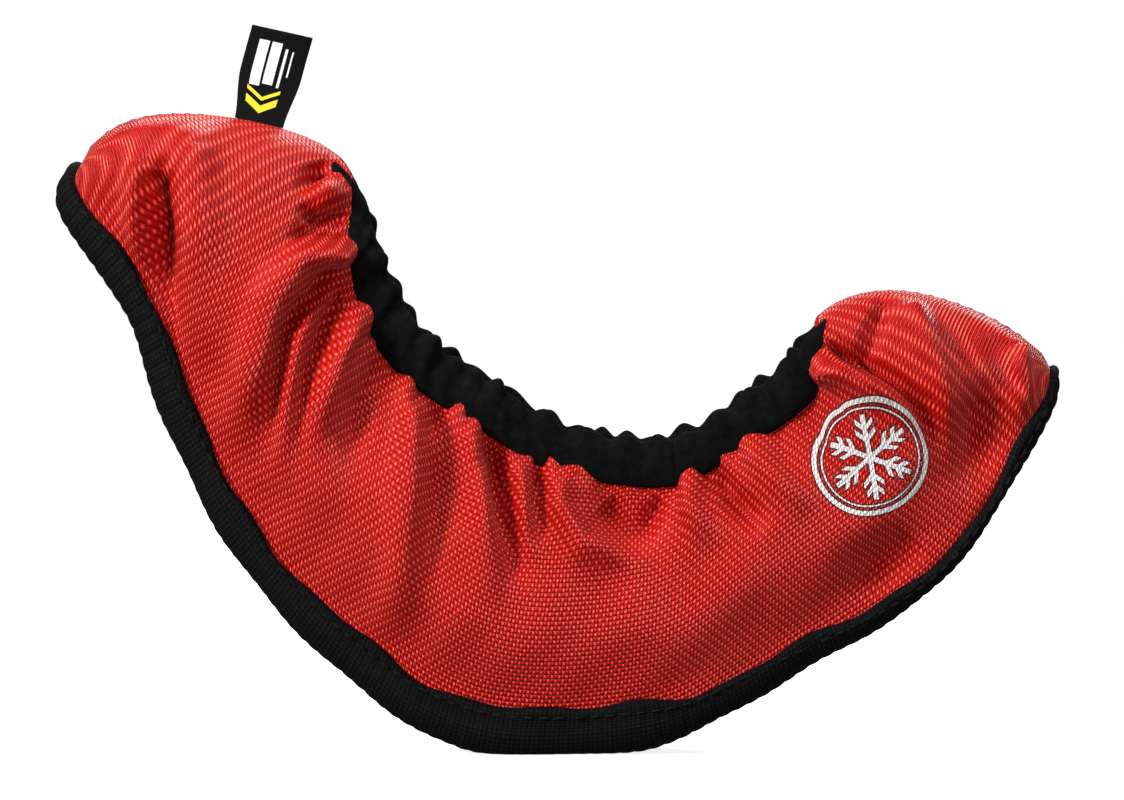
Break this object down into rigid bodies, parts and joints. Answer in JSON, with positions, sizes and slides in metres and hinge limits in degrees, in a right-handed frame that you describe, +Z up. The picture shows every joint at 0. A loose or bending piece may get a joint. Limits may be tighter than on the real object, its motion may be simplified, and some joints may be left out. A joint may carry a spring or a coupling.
{
  "type": "skate blade guard",
  "caption": "Soft curled fabric guard for an ice-skate blade: two red side panels, a black ribbed sole strip, a gathered elastic mouth and a loop label at the heel.",
  "frame": {"origin": "under the middle of the bounding box, on the surface that the sole stands on", "axes": "+X from heel to toe, +Y to the guard's left, +Z up through the mouth"},
  "size_m": [0.2595, 0.042, 0.1893],
  "materials": {
    "panel_nylon": "red ballistic-weave nylon, slightly glossy floats",
    "sole_webbing": "black ribbed webbing, matt",
    "cuff_fleece": "black brushed fleece, gathered",
    "lining_terry": "black looped terry",
    "elastic": "white knitted elastic",
    "thread": "black bonded nylon thread",
    "label_tape": "black woven tape with a plain woven pattern"
  },
  "bodies": {
    "heel_end": {"side_panel_right_heel_end": "panel_nylon", "side_panel_left_heel_end": "panel_nylon", "sole_strip_heel_end": "sole_webbing", "lining_heel_end": "lining_terry", "cuff_casing_heel_end": "cuff_fleece", "elastic_band_heel_end": "elastic", "sole_seam_thread_heel_end": "thread", "heel_hood_seam_thread": "thread", "label_root_stitches": "thread"},
    "heel_quarter": {"side_panel_right_heel_quarter": "panel_nylon", "side_panel_left_heel_quarter": "panel_nylon", "sole_strip_heel_quarter": "sole_webbing", "lining_heel_quarter": "lining_terry", "cuff_casing_heel_quarter": "cuff_fleece", "elastic_band_heel_quarter": "elastic", "sole_seam_thread_heel_quarter": "thread", "cuff_seam_thread_heel_quarter": "thread"},
    "middle": {"side_panel_right_middle": "panel_nylon", "side_panel_left_middle": "panel_nylon", "sole_strip_middle": "sole_webbing", "lining_middle": "lining_terry", "cuff_casing_middle": "cuff_fleece", "elastic_band_middle": "elastic", "sole_seam_thread_middle": "thread", "cuff_seam_thread_middle": "thread"},
    "toe_quarter": {"side_panel_right_toe_quarter": "panel_nylon", "side_panel_left_toe_quarter": "panel_nylon", "sole_strip_toe_quarter": "sole_webbing", "lining_toe_quarter": "lining_terry", "cuff_casing_toe_quarter": "cuff_fleece", "elastic_band_toe_quarter": "elastic", "sole_seam_thread_toe_quarter": "thread", "cuff_seam_thread_toe_quarter": "thread", "elastic_join_stitches": "thread"},
    "toe_end": {"side_panel_right_toe_end": "panel_nylon", "side_panel_left_toe_end": "panel_nylon", "sole_strip_toe_end": "sole_webbing", "lining_toe_end": "lining_terry", "cuff_casing_toe_end": "cuff_fleece", "elastic_band_toe_end": "elastic", "sole_seam_thread_toe_end": "thread", "toe_hood_seam_thread": "thread"},
    "label": {"heel_label": "label_tape"}
  },
  "joints": [
    {"name": "heel_bend", "type": "hinge", "parent": "middle", "child": "heel_quarter", "pos_m": [-0.053, 0, 0.0178], "axis": [0, -1, 0], "range_deg": [0, 32], "stiffness_Nm_per_rad": 0.6, "springref_deg": -8.59},
    {"name": "heel_end_bend", "type": "hinge", "parent": "heel_quarter", "child": "heel_end", "pos_m": [-0.1044, 0, 0.091], "axis": [0, -1, 0], "range_deg": [0, 20]},
    {"name": "toe_bend", "type": "hinge", "parent": "middle", "child": "toe_quarter", "pos_m": [0.041, 0, 0.0084], "axis": [0, 1, 0], "range_deg": [0, 30], "stiffness_Nm_per_rad": 0.6, "springref_deg": -8.59},
    {"name": "toe_end_bend", "type": "hinge", "parent": "toe_quarter", "child": "toe_end", "pos_m": [0.095, 0, 0.041], "axis": [0, 1, 0], "range_deg": [0, 22]},
    {"name": "label_flop", "type": "hinge", "parent": "heel_end", "child": "label", "pos_m": [-0.07772, 0, 0.16415], "axis": [0.9759, 0, -0.218], "range_deg": [-60, 60], "stiffness_Nm_per_rad": 0.002}
  ],
  "couplings": [
    {"joint": "heel_end_bend", "follows": "heel_bend", "ratio": 0.625},
    {"joint": "toe_end_bend", "follows": "toe_bend", "ratio": 0.7333}
  ]
}
